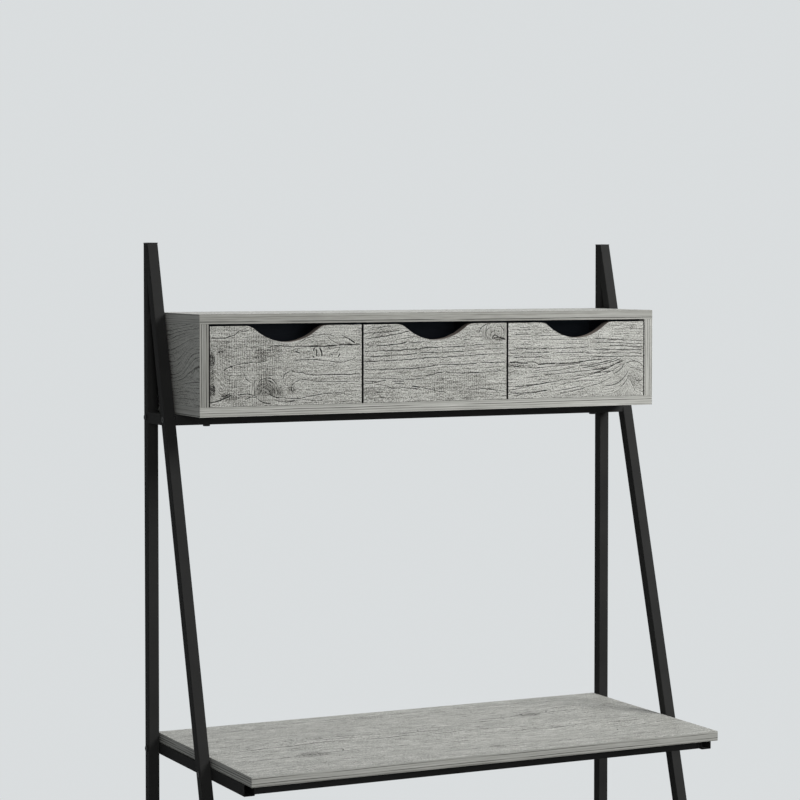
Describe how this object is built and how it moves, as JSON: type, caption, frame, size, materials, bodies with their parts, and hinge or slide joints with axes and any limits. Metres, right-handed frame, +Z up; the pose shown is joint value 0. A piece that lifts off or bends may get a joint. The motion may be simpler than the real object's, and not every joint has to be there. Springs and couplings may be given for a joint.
{
  "type": "ladder desk",
  "caption": "Tall desk on two A-shaped black steel side frames, with a worktop and, above it, a grey wood-look hutch with inset drawers that slide out by scooped finger cut-outs.",
  "frame": {"origin": "on the floor, below the middle of the desk's bounding box", "axes": "+Z up, +Y towards the back of the desk, +X to the right seen from the front"},
  "size_m": [1.066, 0.5, 1.727],
  "materials": {
    "black_steel": "matt black powder coat",
    "grey_wood": "matt laminate with a weathered grey wood grain",
    "black_board": "matt black laminate",
    "black_plastic": "moulded black plastic",
    "black_bolts": "black coated steel",
    "zinc_steel": "zinc plated",
    "nylon": "white nylon strip",
    "beech": "plain beech"
  },
  "bodies": {
    "frame": {"bearer_nuts": "zinc_steel", "crossbar_end_plugs": "zinc_steel", "desk_bearer_left": "black_steel", "desk_bearer_right": "black_steel", "desk_front_crossbar": "black_steel", "desk_rear_crossbar": "black_steel", "foot_crossbar": "black_steel", "foot_front_left": "black_plastic", "foot_front_right": "black_plastic", "foot_rail_left": "black_steel", "foot_rail_right": "black_steel", "foot_rear_left": "black_plastic", "foot_rear_right": "black_plastic", "front_leg_bolts": "black_bolts", "front_leg_left": "black_steel", "front_leg_right": "black_steel", "hutch_back": "black_board", "hutch_bolts": "black_bolts", "hutch_bottom": "grey_wood", "hutch_cam_fittings": "zinc_steel", "hutch_divider_left": "black_board", "hutch_divider_right": "black_board", "hutch_dowels": "beech", "hutch_front_crossbar": "black_steel", "hutch_glide_strips": "nylon", "hutch_inserts": "zinc_steel", "hutch_rail_left": "black_steel", "hutch_rail_right": "black_steel", "hutch_rear_crossbar": "black_steel", "hutch_screws": "zinc_steel", "hutch_side_guides": "black_board", "hutch_side_left": "grey_wood", "hutch_side_right": "grey_wood", "hutch_top": "grey_wood", "leg_cap_left": "black_plastic", "leg_cap_right": "black_plastic", "rear_leg_bolts": "black_bolts", "rear_leg_left": "black_steel", "rear_leg_right": "black_steel", "worktop": "grey_wood", "worktop_screws": "zinc_steel"},
    "drawer_left": {"drawer_left_back": "black_board", "drawer_left_bottom": "black_board", "drawer_left_dowels": "beech", "drawer_left_front": "grey_wood", "drawer_left_side_left": "black_board", "drawer_left_side_right": "black_board"},
    "drawer_middle": {"drawer_middle_back": "black_board", "drawer_middle_bottom": "black_board", "drawer_middle_dowels": "beech", "drawer_middle_front": "grey_wood", "drawer_middle_side_left": "black_board", "drawer_middle_side_right": "black_board"},
    "drawer_right": {"drawer_right_back": "black_board", "drawer_right_bottom": "black_board", "drawer_right_dowels": "beech", "drawer_right_front": "grey_wood", "drawer_right_side_left": "black_board", "drawer_right_side_right": "black_board"}
  },
  "joints": [
    {"name": "drawer_left_slide", "type": "slide", "parent": "frame", "child": "drawer_left", "axis": [0, -1, 0], "range_m": [0, 0.15]},
    {"name": "drawer_middle_slide", "type": "slide", "parent": "frame", "child": "drawer_middle", "axis": [0, -1, 0], "range_m": [0, 0.15]},
    {"name": "drawer_right_slide", "type": "slide", "parent": "frame", "child": "drawer_right", "axis": [0, -1, 0], "range_m": [0, 0.15]}
  ]
}
